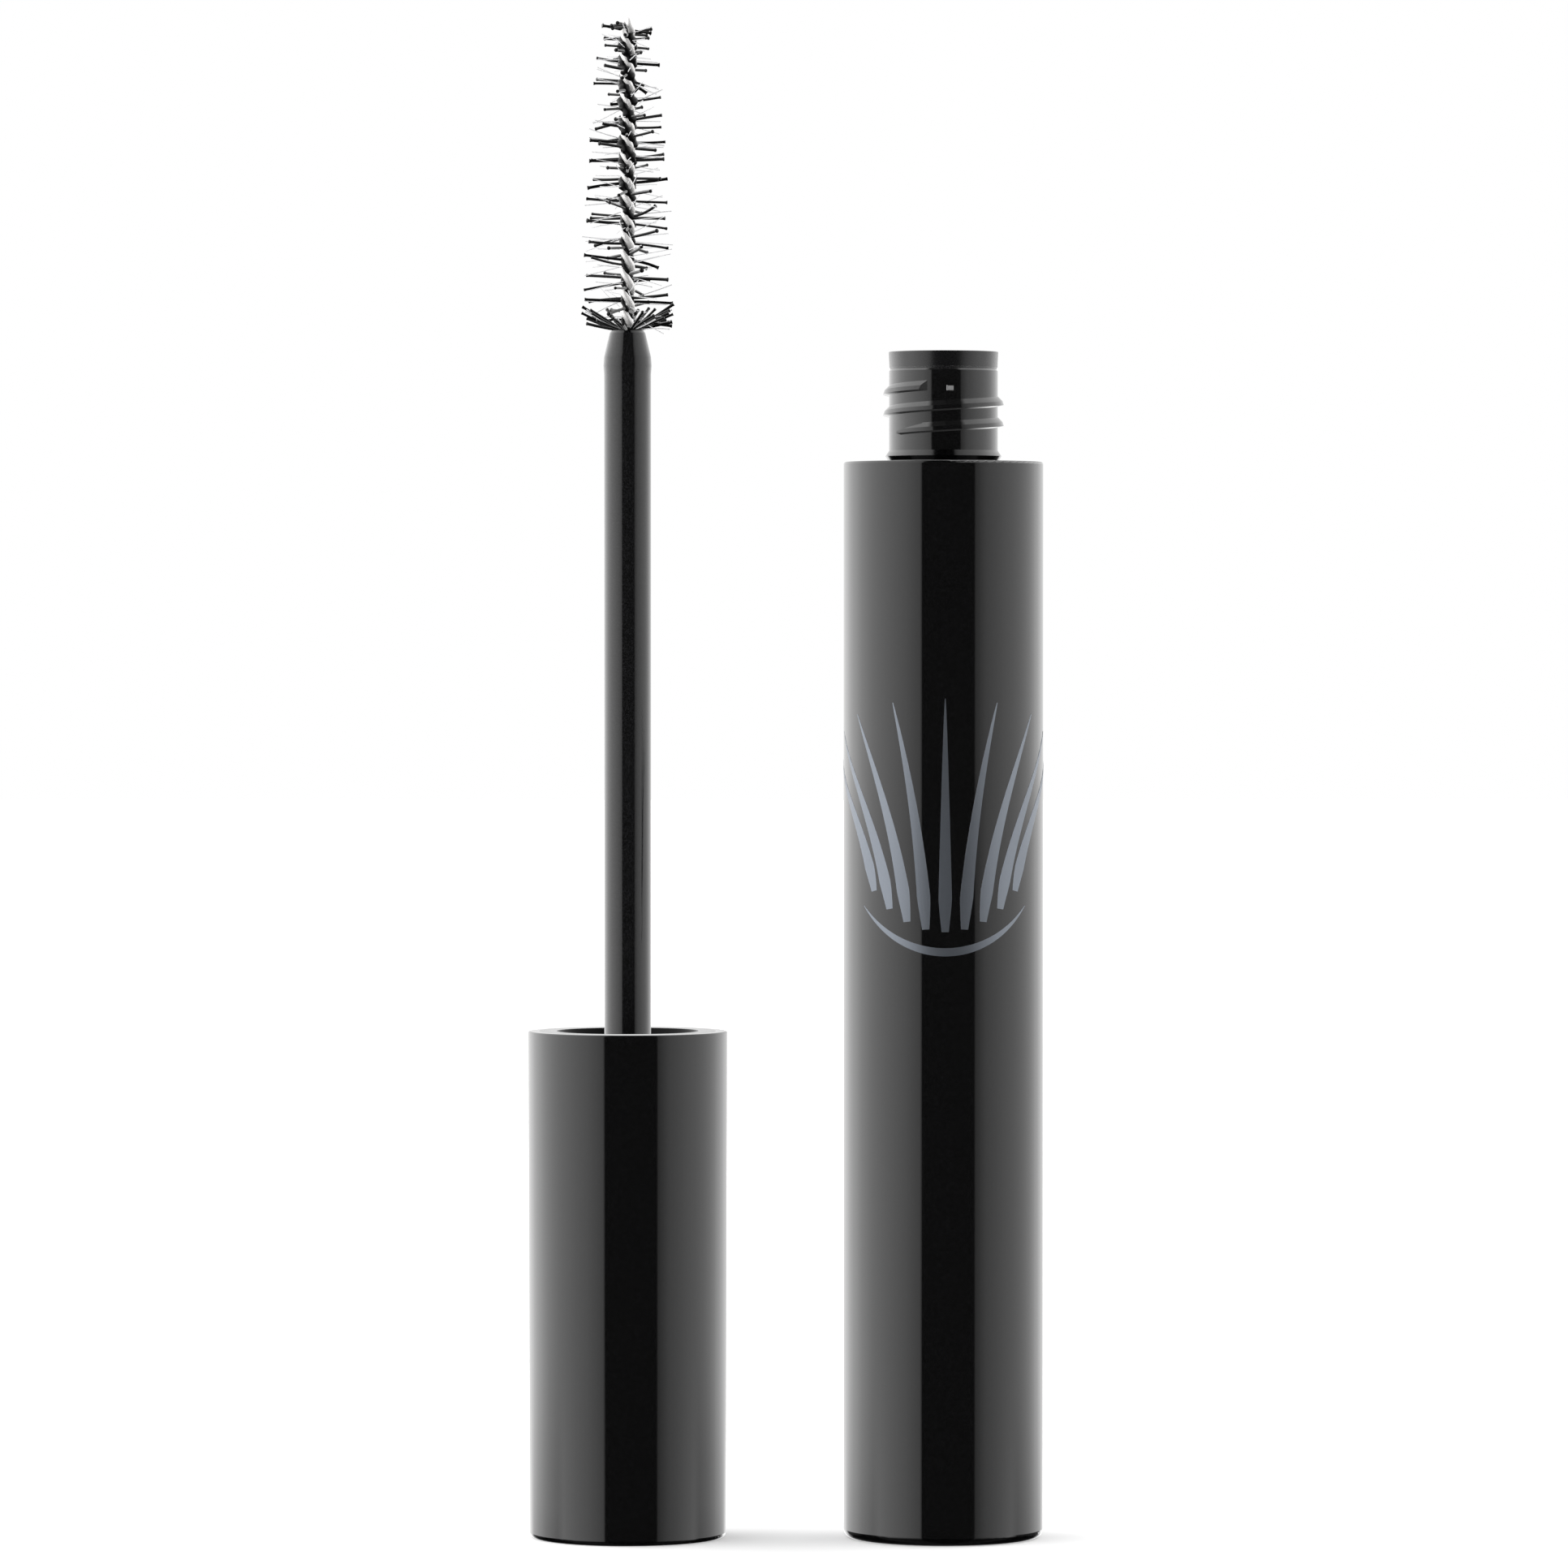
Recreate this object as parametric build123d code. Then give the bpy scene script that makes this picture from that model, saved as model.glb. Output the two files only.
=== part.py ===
from build123d import *

import math
import os

# A mascara tube, opened: the bottle stands upright on the origin, and the applicator stands
# upside down beside it on the closed end of its cap, with its brush in the air.
# Millimetres, +Z up, +X from the applicator to the bottle, the front of both towards -Y.

# Where the applicator stands, and the heights that both halves share
APPLICATOR_X = -25.3
NECK_ABOVE_SHOULDER = 8.8

# Bottle: a gloss sleeve over an inner bottle that carries the neck
SLEEVE_R = 8.0
SLEEVE_HEIGHT = 86.2
SLEEVE_WALL = 0.9
SLEEVE_FLOOR = 1.2
SLEEVE_BASE_ROUND = 0.68
SLEEVE_RIM_ROUND = 0.2
LABEL_RECESS_R = 6.4
LABEL_RECESS_DEPTH = 0.15
LABEL_THICKNESS = 0.13
GLUE_GAP = 0.05
BOTTLE_WALL = 0.9
BOTTLE_FLOOR_Z = 2.5
BOTTLE_CORNER = 0.8
SHOULDER_DROP = 0.2

# Neck, its thread and its collar bead
NECK_R = 4.36
NECK_BORE_R = 3.45
NECK_TOP_Z = 93.6
NECK_EDGE = 0.14
BEAD_R = 4.65
BEAD_ROOT_R = 4.45
BEAD_LOW_Z = 86.3
BEAD_Z = 86.65
BEAD_HIGH_Z = 87.1
THREAD_PITCH = 1.67
THREAD_CREST_R = 4.84
THREAD_CREST_LEAN = 0.1
THREAD_LOW_Z = 88.75
THREAD_START = -142.0
THREAD_TURNS = 2.094
THREAD_BITE = 0.1
THREAD_RUN_IN_LENGTH = 2.8
THREAD_RUN_IN_SLOPE = 16.0
THREAD_RUN_OUT_ANGLE = 38.0
PIP_SIZE = (0.55, 0.6, 0.4)
PIP_ANGLE = -84.0
PIP_Z = 92.02

# Wiper pressed into the neck
WIPER_TOP_Z = SLEEVE_HEIGHT + NECK_ABOVE_SHOULDER
WIPER_FLANGE_R = 4.39
WIPER_FLANGE_DRAFT = 0.06
WIPER_FLANGE_EDGE = 0.06
WIPER_GROOVE_R = 4.27
WIPER_GROOVE = 0.14
WIPER_R = 3.43
WIPER_MOUTH_R = 3.0
WIPER_MOUTH_FLARE = 0.4
WIPER_FUNNEL_Z = 88.0
WIPER_ORIFICE_R = 2.0
WIPER_ORIFICE_LOW_Z = 83.2
WIPER_ORIFICE_LENGTH = 1.2
WIPER_LIP = 0.4
WIPER_STEP = 1.2

# The mascara that is left in the bottle, with the channel that the brush has made in it
FORMULA_R = 6.12
FORMULA_TOP_Z = 62.0
CHANNEL_R = 3.9
CHANNEL_LOW_Z = 5.0

# Cap: a drafted gloss shell over a threaded inner cap
CAP_HEIGHT = 40.6
CAP_RIM_R = 7.99
CAP_END_R = 7.87
CAP_INNER_R = 7.1
CAP_END_THICKNESS = 1.2
CAP_END_ROUND = 0.4
CAP_RIM_ROUND = 0.12
INNER_CAP_R = CAP_INNER_R - GLUE_GAP
SOCKET_MOUTH_R = 5.72
SOCKET_MOUTH_DEPTH = 1.2
SOCKET_R = 4.95
SOCKET_CREST_R = 4.5
SOCKET_TURNS = 2.0
SOCKET_THREAD_LOW_Z = 35.56
SOCKET_THREAD_START = -38.0
SEAL_FACE_Z = CAP_HEIGHT - NECK_ABOVE_SHOULDER
SEAL_THICKNESS = 0.8
SEAL_R = 4.85
SEAL_HOLE_R = 2.1
COLLAR_THICKNESS = 0.6
WEB_THICKNESS = 1.0
ROD_SOCKET_LOW_Z = 12.0
ROD_SOCKET_BORE_R = 2.17
ROD_SOCKET_R = 3.4
RIB_COUNT = 6
RIB_THICKNESS = 0.8
RIB_R = 7.0

# Rod
ROD_SHANK_R = 2.15
ROD_SHANK_LOW_Z = 12.4
ROD_SHANK_CHAMFER = (0.3, 0.6)
ROD_COLLAR_R = 4.6
ROD_LOW_R = 1.86
ROD_HIGH_R = 1.88
ROD_SWELL_Z = 93.2
ROD_SWELL = 0.05
ROD_SWELL_LENGTH = 0.7
ROD_TAPER_Z = 94.6
ROD_NOSE_R = 1.43
ROD_NOSE_Z = 96.5
ROD_TIP_R = 1.3
ROD_TIP_Z = 96.7
ROD_BORE_R = 0.63
ROD_BORE_LOW_Z = 88.7

# Brush: one wire folded in half and twisted left-handed, with nylon fibres held in its folds
STRAND_R = 0.27
STRAND_OFFSET = 0.345
TWIST_PITCH = 3.16
WIRE_LOW_Z = 89.0
WIRE_FOLD_Z = 121.15
FIBRE_R = 0.07
FIBRE_LOW_Z = 97.45
FIBRE_SPACING = 0.36
FAN_SPACING = 0.165
FINE_FIBRE_R = 0.035
FIBRE_ROWS = 8
ROW_HEIGHT = 2.95
BRUSH_R = 3.7
BRUSH_CONE_Z = 104.5
BRUSH_CONE_SLOPE = 0.082


def turned(outline):
    """A solid turned about Z from the (radius, height) corners of half its section."""
    wire = Polyline(*[(radius, 0, height) for radius, height in outline], close=True)
    return revolve(make_face(wire), axis=Axis.Z)


def round_edge(shape, radius, height, round_radius):
    """Rounds the circular edge that has this radius and height."""
    edges = [
        edge
        for edge in shape.edges().filter_by(GeomType.CIRCLE)
        if abs(edge.radius - radius) < 0.01 and abs(edge.arc_center.Z - height) < 0.01
    ]
    return fillet(edges, round_radius)


def ridge(section, pitch, turns, low_z, start_angle):
    """A right-hand screw ridge about Z, swept from the (radius, height) corners of its section."""
    path = Helix(pitch=pitch, height=pitch * turns, radius=NECK_R)
    face = make_face(Polyline(*[(radius, 0, height) for radius, height in section], close=True))
    swept = sweep(face, path=path, is_frenet=True)
    return Pos(0, 0, low_z) * Rot(0, 0, start_angle) * swept


def on_applicator(shape):
    """Moves a shape from the Z axis to the applicator's own axis."""
    return Pos(APPLICATOR_X, 0, 0) * shape


def outer_sleeve():
    """The gloss outer wall of the bottle, open at the top, with a label recess underneath."""
    inner_r = SLEEVE_R - SLEEVE_WALL
    sleeve = turned([
        (0, LABEL_RECESS_DEPTH),
        (LABEL_RECESS_R, LABEL_RECESS_DEPTH),
        (LABEL_RECESS_R, 0),
        (SLEEVE_R, 0),
        (SLEEVE_R, SLEEVE_HEIGHT),
        (inner_r, SLEEVE_HEIGHT),
        (inner_r, SLEEVE_FLOOR),
        (0, SLEEVE_FLOOR),
    ])
    sleeve = round_edge(sleeve, SLEEVE_R, 0, SLEEVE_BASE_ROUND)
    return round_edge(sleeve, SLEEVE_R, SLEEVE_HEIGHT, SLEEVE_RIM_ROUND)


def base_label():
    """The round sticker in the recess under the bottle."""
    bottom = LABEL_RECESS_DEPTH - LABEL_THICKNESS
    radius = LABEL_RECESS_R - GLUE_GAP
    return turned([
        (0, bottom),
        (radius, bottom),
        (radius, LABEL_RECESS_DEPTH),
        (0, LABEL_RECESS_DEPTH),
    ])


def neck_ridge():
    """The neck's thread: nearly flat underneath, a leaning crest and a 45 degree upper flank."""
    root = NECK_R - THREAD_BITE
    crest_top_r = THREAD_CREST_R - THREAD_CREST_LEAN
    section = [(root, -0.46), (THREAD_CREST_R, -0.32), (crest_top_r, 0), (root, 0.48)]
    thread = ridge(section, THREAD_PITCH, THREAD_TURNS, THREAD_LOW_Z, THREAD_START)
    return thread - run_in_cut() - run_out_cut()


def run_in_cut():
    """What the thread's lower end lacks: its upper flank, which rises from nothing."""
    block = Box(2, THREAD_RUN_IN_LENGTH, 0.7, align=(Align.CENTER, Align.MIN, Align.MIN))
    sloped = Pos(NECK_R, -0.6, -0.33) * Rot(THREAD_RUN_IN_SLOPE, 0, 0) * block
    return Pos(0, 0, THREAD_LOW_Z) * Rot(0, 0, THREAD_START) * sloped


def run_out_cut():
    """What the thread's upper end lacks: it slopes down into the neck's surface."""
    block = Box(3, 3, THREAD_PITCH, align=(Align.MIN, Align.MIN, Align.CENTER))
    end_angle = THREAD_START + 360 * THREAD_TURNS
    top_z = THREAD_LOW_Z + THREAD_PITCH * THREAD_TURNS
    sloped = Pos(NECK_R, 0, 0) * Rot(0, 0, THREAD_RUN_OUT_ANGLE) * Pos(0, -1.2, 0) * block
    return Pos(0, 0, top_z) * Rot(0, 0, end_angle) * sloped


def neck_pip():
    """The small raised block above the end of the thread, which the cap stops against."""
    return Pos(0, 0, PIP_Z) * Rot(0, 0, PIP_ANGLE) * Pos(NECK_R, 0, 0) * Box(
        PIP_SIZE[1], PIP_SIZE[0], PIP_SIZE[2]
    )


def inner_bottle():
    """The moulded bottle inside the sleeve, from its floor to the threaded neck."""
    outer_r = SLEEVE_R - SLEEVE_WALL - GLUE_GAP
    cavity_r = outer_r - BOTTLE_WALL
    shoulder_z = SLEEVE_HEIGHT - SHOULDER_DROP
    body = turned([
        (0, SLEEVE_FLOOR),
        (outer_r, SLEEVE_FLOOR),
        (outer_r, shoulder_z),
        (BEAD_ROOT_R, shoulder_z),
        (BEAD_ROOT_R, BEAD_LOW_Z),
        (BEAD_R, BEAD_Z),
        (NECK_R, BEAD_HIGH_Z),
        (NECK_R, NECK_TOP_Z - NECK_EDGE),
        (NECK_R - NECK_EDGE, NECK_TOP_Z),
        (NECK_BORE_R, NECK_TOP_Z),
        (NECK_BORE_R, shoulder_z - BOTTLE_WALL),
        (cavity_r, shoulder_z - BOTTLE_WALL - (cavity_r - NECK_BORE_R) / 2),
        (cavity_r, BOTTLE_FLOOR_Z + BOTTLE_CORNER),
        (cavity_r - BOTTLE_CORNER, BOTTLE_FLOOR_Z),
        (0, BOTTLE_FLOOR_Z),
    ])
    bore = Pos(0, 0, NECK_TOP_Z) * Cylinder(NECK_BORE_R, 2 * NECK_ABOVE_SHOULDER)
    return body + (neck_ridge() - bore) + (neck_pip() - bore)


def wiper():
    """The soft insert in the neck: a flange, a straight mouth, a funnel and a wiping lip."""
    funnel_low_z = WIPER_ORIFICE_LOW_Z + WIPER_ORIFICE_LENGTH
    insert = turned([
        (WIPER_ORIFICE_R, WIPER_ORIFICE_LOW_Z),
        (WIPER_ORIFICE_R + WIPER_LIP, WIPER_ORIFICE_LOW_Z),
        (WIPER_R, WIPER_FUNNEL_Z - WIPER_STEP),
        (WIPER_R, NECK_TOP_Z),
        (WIPER_GROOVE_R, NECK_TOP_Z),
        (WIPER_GROOVE_R, NECK_TOP_Z + WIPER_GROOVE),
        (WIPER_FLANGE_R - WIPER_FLANGE_DRAFT, NECK_TOP_Z + WIPER_GROOVE),
        (WIPER_FLANGE_R, WIPER_TOP_Z),
        (WIPER_MOUTH_R + WIPER_MOUTH_FLARE, WIPER_TOP_Z),
        (WIPER_MOUTH_R, WIPER_TOP_Z - 2 * WIPER_MOUTH_FLARE),
        (WIPER_MOUTH_R, WIPER_FUNNEL_Z),
        (WIPER_ORIFICE_R, funnel_low_z),
    ])
    return round_edge(insert, WIPER_FLANGE_R, WIPER_TOP_Z, WIPER_FLANGE_EDGE)


def mascara_formula():
    """What is left of the mascara, a thick paste with an open channel down its middle."""
    return turned([
        (0, BOTTLE_FLOOR_Z),
        (FORMULA_R - BOTTLE_CORNER, BOTTLE_FLOOR_Z),
        (FORMULA_R, BOTTLE_FLOOR_Z + BOTTLE_CORNER),
        (FORMULA_R, FORMULA_TOP_Z),
        (CHANNEL_R, FORMULA_TOP_Z - 1.5),
        (CHANNEL_R, CHANNEL_LOW_Z),
        (0, CHANNEL_LOW_Z),
    ])


def cap_shell():
    """The gloss outer cap, a little narrower at its closed end, which stands on the table."""
    shell = turned([
        (0, 0),
        (CAP_END_R, 0),
        (CAP_RIM_R, CAP_HEIGHT),
        (CAP_INNER_R, CAP_HEIGHT),
        (CAP_INNER_R, CAP_END_THICKNESS),
        (0, CAP_END_THICKNESS),
    ])
    shell = round_edge(shell, CAP_END_R, 0, CAP_END_ROUND)
    return on_applicator(round_edge(shell, CAP_RIM_R, CAP_HEIGHT, CAP_RIM_ROUND))


def socket_ridge():
    """The inner cap's thread, which runs half a pitch under the neck's when the cap is closed."""
    root = SOCKET_R + THREAD_BITE
    section = [(root, -0.45), (SOCKET_CREST_R, -0.15), (SOCKET_CREST_R, 0.15), (root, 0.45)]
    return ridge(section, THREAD_PITCH, SOCKET_TURNS, SOCKET_THREAD_LOW_Z, SOCKET_THREAD_START)


def inner_cap():
    """The ribbed liner of the cap: the neck's threaded socket above, the rod's socket below."""
    web_top_z = SEAL_FACE_Z - SEAL_THICKNESS - COLLAR_THICKNESS
    web_low_z = web_top_z - WEB_THICKNESS
    mouth_z = CAP_HEIGHT - SOCKET_MOUTH_DEPTH
    liner = turned([
        (INNER_CAP_R, CAP_HEIGHT),
        (SOCKET_MOUTH_R, CAP_HEIGHT),
        (SOCKET_MOUTH_R, mouth_z),
        (SOCKET_R, mouth_z),
        (SOCKET_R, web_top_z),
        (ROD_SOCKET_BORE_R, web_top_z),
        (ROD_SOCKET_BORE_R, ROD_SOCKET_LOW_Z),
        (ROD_SOCKET_R, ROD_SOCKET_LOW_Z),
        (ROD_SOCKET_R, web_low_z),
        (INNER_CAP_R, web_low_z),
    ])
    rib_height = web_low_z - ROD_SOCKET_LOW_Z
    rib_length = RIB_R - ROD_SOCKET_R + THREAD_BITE
    rib = Pos(RIB_R - rib_length / 2, 0, ROD_SOCKET_LOW_Z + rib_height / 2) * Box(
        rib_length, RIB_THICKNESS, rib_height
    )
    for index in range(RIB_COUNT):
        liner += Rot(0, 0, index * 360 / RIB_COUNT) * rib
    return on_applicator(liner + socket_ridge())


def cap_seal():
    """The foam washer that the neck's end closes against."""
    low_z = SEAL_FACE_Z - SEAL_THICKNESS
    return on_applicator(turned([
        (SEAL_HOLE_R, low_z),
        (SEAL_R, low_z),
        (SEAL_R, SEAL_FACE_Z),
        (SEAL_HOLE_R, SEAL_FACE_Z),
    ]))


def applicator_rod():
    """The rod, with its shank and collar in the inner cap and a wire bore in its nose."""
    collar_top_z = SEAL_FACE_Z - SEAL_THICKNESS
    collar_low_z = collar_top_z - COLLAR_THICKNESS
    return on_applicator(turned([
        (0, ROD_SHANK_LOW_Z),
        (ROD_SHANK_R - ROD_SHANK_CHAMFER[0], ROD_SHANK_LOW_Z),
        (ROD_SHANK_R, ROD_SHANK_LOW_Z + ROD_SHANK_CHAMFER[1]),
        (ROD_SHANK_R, collar_low_z),
        (ROD_COLLAR_R, collar_low_z),
        (ROD_COLLAR_R, collar_top_z),
        (ROD_LOW_R, collar_top_z),
        (ROD_HIGH_R, ROD_SWELL_Z),
        (ROD_HIGH_R + ROD_SWELL, ROD_SWELL_Z + ROD_SWELL_LENGTH),
        (ROD_HIGH_R, ROD_TAPER_Z),
        (ROD_NOSE_R, ROD_NOSE_Z),
        (ROD_TIP_R, ROD_TIP_Z),
        (ROD_BORE_R, ROD_TIP_Z),
        (ROD_BORE_R, ROD_BORE_LOW_Z),
        (0, ROD_BORE_LOW_Z),
    ]))


def wire_angle(height):
    """The direction of the first strand from the wire's axis, in degrees, at this height."""
    return -360 * (height - WIRE_LOW_Z) / TWIST_PITCH


def brush_wire():
    """The folded wire: two strands twisted left-handed and joined by a hairpin at the tip."""
    length = WIRE_FOLD_Z - WIRE_LOW_Z
    path = Helix(pitch=TWIST_PITCH, height=length, radius=STRAND_OFFSET, lefthand=True)
    section = Plane(path @ 0, z_dir=path % 0) * Circle(STRAND_R)
    strand = Pos(0, 0, WIRE_LOW_Z) * sweep(section, path=path, is_frenet=True)
    arc = CenterArc((0, 0, 0), STRAND_OFFSET, 0, 180)
    bend = sweep(Plane(arc @ 0, z_dir=arc % 0) * Circle(STRAND_R), path=arc)
    turn = Rot(0, 0, wire_angle(WIRE_FOLD_Z))
    fold = Pos(0, 0, WIRE_FOLD_Z) * turn * Rot(90, 0, 0) * bend
    wire = fold
    for side in (0, 180):
        knuckle = Pos(0, 0, WIRE_FOLD_Z) * turn * Rot(0, 0, side) * Pos(STRAND_OFFSET, 0, 0)
        wire += knuckle * Sphere(STRAND_R)
        wire += Rot(0, 0, side) * strand
    return on_applicator(wire)


def brush_radius(height):
    """The brush's radius: straight for the lower third, then a cone to the tip."""
    return BRUSH_R - BRUSH_CONE_SLOPE * max(0, height - BRUSH_CONE_Z)


def fibre(height, radius):
    """One fibre at this height, straight through the gap between the two strands."""
    rod = Rot(0, 90, 0) * Cylinder(radius, 2 * brush_radius(height))
    return Pos(0, 0, height) * Rot(0, 0, wire_angle(height) + 90) * rod


def bristle_row(row):
    """The black fibres held by about one turn of the wire, closest together in the lowest row."""
    spacing = FAN_SPACING if row == 0 else FIBRE_SPACING
    low_z = FIBRE_LOW_Z + row * ROW_HEIGHT
    heights = [low_z + index * spacing for index in range(int(ROW_HEIGHT / spacing))]
    return on_applicator(Compound(children=[fibre(height, FIBRE_R) for height in heights]))


def fine_bristles():
    """The fine pale fibres, one half way between each two black ones above the lowest row."""
    fibres = []
    for row in range(1, FIBRE_ROWS):
        low_z = FIBRE_LOW_Z + row * ROW_HEIGHT + FIBRE_SPACING / 2
        for index in range(int(ROW_HEIGHT / FIBRE_SPACING) - 1):
            fibres.append(fibre(low_z + index * FIBRE_SPACING, FINE_FIBRE_R))
    return on_applicator(Compound(children=fibres))


def main():
    pieces = {
        "outer_sleeve": outer_sleeve(),
        "base_label": base_label(),
        "inner_bottle": inner_bottle(),
        "wiper": wiper(),
        "mascara_formula": mascara_formula(),
        "cap_shell": cap_shell(),
        "inner_cap": inner_cap(),
        "cap_seal": cap_seal(),
        "applicator_rod": applicator_rod(),
        "brush_wire": brush_wire(),
        "fine_bristles": fine_bristles(),
    }
    for row in range(FIBRE_ROWS):
        pieces[f"bristle_row_{row + 1}"] = bristle_row(row)
    os.makedirs("parts", exist_ok=True)
    for name, shape in pieces.items():
        export_step(shape, f"parts/{name}.step")


main()
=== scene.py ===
import math
import random

import bpy
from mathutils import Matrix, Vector


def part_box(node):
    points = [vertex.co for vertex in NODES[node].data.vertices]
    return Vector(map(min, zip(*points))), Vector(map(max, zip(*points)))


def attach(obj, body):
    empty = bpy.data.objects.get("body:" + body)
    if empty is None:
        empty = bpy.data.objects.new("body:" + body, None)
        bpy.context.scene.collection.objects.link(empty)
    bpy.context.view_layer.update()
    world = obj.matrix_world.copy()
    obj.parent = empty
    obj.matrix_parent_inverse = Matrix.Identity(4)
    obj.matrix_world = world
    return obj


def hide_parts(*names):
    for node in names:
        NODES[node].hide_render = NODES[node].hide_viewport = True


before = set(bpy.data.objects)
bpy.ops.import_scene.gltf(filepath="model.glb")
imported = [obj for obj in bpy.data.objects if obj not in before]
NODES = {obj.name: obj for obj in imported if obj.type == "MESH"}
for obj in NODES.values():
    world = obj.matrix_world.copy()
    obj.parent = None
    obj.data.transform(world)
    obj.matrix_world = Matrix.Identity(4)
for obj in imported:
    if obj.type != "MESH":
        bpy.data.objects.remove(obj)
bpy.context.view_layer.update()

# An opened mascara tube on a pale studio floor. Lengths are in metres.
MM = 0.001
SEED = 7


def middle(node):
    """The middle of a CAD node's box."""
    low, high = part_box(node)
    return (low + high) / 2


BOTTLE_X = middle("outer_sleeve").x
APPLICATOR_X = middle("applicator_rod").x
SLEEVE_R = (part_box("outer_sleeve")[1].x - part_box("outer_sleeve")[0].x) / 2
ROD_TIP_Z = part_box("applicator_rod")[1].z
WIRE_LOW_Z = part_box("brush_wire")[0].z
WIRE_TOP_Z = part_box("brush_wire")[1].z
FIBRE_ROWS = [name for name in sorted(NODES) if name.startswith("bristle_row_")]
ROW_BOXES = [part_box(name) for name in FIBRE_ROWS]
BRISTLE_LOW_Z = ROW_BOXES[0][0].z
BRISTLE_HIGH_Z = ROW_BOXES[-1][1].z
BRUSH_R = (ROW_BOXES[1][1].x - ROW_BOXES[1][0].x) / 2


# Camera and studio

CAMERA_DISTANCE = 0.690
CAMERA_HEIGHT = 0.0727
AIM_LEFT = 0.12 * MM
AIM_Z = 0.0604
# Sensor and focal length, which Blender takes in millimetres
SENSOR = 36.0
LENS = 197.7
CLIP_NEAR = 0.01
CLIP_FAR = 50
FLOOR_SIZE = 6.0
# The tent's ramps hold its brightness as a share of this
WORLD_PEAK = 4.0
# The least height that the slope overhead is divided by
NEAR_ZERO = 0.001

# The tent's brightness by direction, in degrees from the camera's side towards +X. A black
# panel stands behind the camera from -26.5 to 35.5 degrees, with soft boxes either side of it.
TENT = [
    (-180, 1.0),
    (-164, 1.5),
    (-144, 2.4),
    (-120, 3.1),
    (-100, 3.0),
    (-74, 2.5),
    (-47, 1.8),
    (-27.0, 1.1),
    (-26.0, 0.06),
    (35.0, 0.06),
    (36.5, 0.5),
    (50, 1.1),
    (74, 1.6),
    (106, 2.0),
    (130, 2.2),
    (150, 1.8),
    (166, 1.2),
    (180, 1.0),
]
# Lower down, where only the views from above look, the tent has three dark panels in all
TENT_LOW = [
    (-180, 1.5),
    (-156, 2.2),
    (-146, 0.15),
    (-90, 0.15),
    (-80, 2.6),
    (-47, 1.7),
    (-27.0, 1.1),
    (-26.0, 0.06),
    (35.0, 0.06),
    (36.5, 0.5),
    (60, 1.2),
    (85, 2.4),
    (95, 0.15),
    (151, 0.15),
    (161, 2.0),
    (180, 1.5),
]
# How much of the lower tent shows, by the sine of the elevation
LOW_SHARE = [(-1.0, 1.0), (-0.15, 1.0), (-0.09, 0.0), (1.0, 0.0)]
# The tent's brightness by height, as the sine of the elevation and a factor
TENT_HEIGHT = [(-1.0, 0.05), (-0.4, 0.05), (-0.2, 1.0), (0.5, 1.0), (1.0, 0.8)]
# The panel's dark top overhead, by the slope sideways from straight up, and where it ends
OVERHEAD_DARK = [(0.0, 0.06), (0.24, 0.06), (0.32, 1.0), (1.0, 1.0)]
OVERHEAD_END = [(0.0, 0.0), (0.5, 0.0), (0.6, 1.0), (1.0, 1.0)]


def set_ramp(ramp, stops):
    """Fills a grey colour ramp from (position, value) stops."""
    while len(ramp.elements) > 1:
        ramp.elements.remove(ramp.elements[-1])
    ramp.elements[0].position = stops[0][0]
    ramp.elements[0].color = (stops[0][1], stops[0][1], stops[0][1], 1)
    for position, value in stops[1:]:
        element = ramp.elements.new(position)
        element.color = (value, value, value, 1)


class Nodes:
    """Short ways to add and join the nodes of one node tree."""

    def __init__(self, tree):
        self.tree = tree

    def new(self, kind):
        return self.tree.nodes.new(kind)

    def link(self, source, target):
        self.tree.links.new(source, target)

    def math(self, operation, first, second=0.0):
        """The result of a sum on one or two inputs, each a socket or a number."""
        node = self.new("ShaderNodeMath")
        node.operation = operation
        for index, value in enumerate((first, second)):
            if isinstance(value, (int, float)):
                node.inputs[index].default_value = value
            else:
                self.link(value, node.inputs[index])
        return node.outputs[0]

    def ramp(self, source, stops):
        """A value passed through (position, value) stops."""
        node = self.new("ShaderNodeValToRGB")
        set_ramp(node.color_ramp, stops)
        self.link(source, node.inputs[0])
        return node.outputs["Color"]

    def mix(self, mask, first, second):
        """Goes from the first colour to the second as the mask goes from 0 to 1."""
        node = self.new("ShaderNodeMixRGB")
        for socket, source in zip(node.inputs, (mask, first, second)):
            self.link(source, socket)
        return node.outputs[0]

    def rescaled(self, source, low, high):
        """A value from low to high, brought to 0 to 1."""
        node = self.new("ShaderNodeMapRange")
        node.inputs["From Min"].default_value = low
        node.inputs["From Max"].default_value = high
        self.link(source, node.inputs["Value"])
        return node.outputs[0]


def by_turn(stops):
    """Stops over the full circle, from (degrees, brightness)."""
    return [((angle + 180) / 360, value / WORLD_PEAK) for angle, value in stops]


def by_rise(stops):
    """Stops from straight down to straight up, from (sine of the elevation, factor)."""
    return [((sine + 1) / 2, value) for sine, value in stops]


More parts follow.
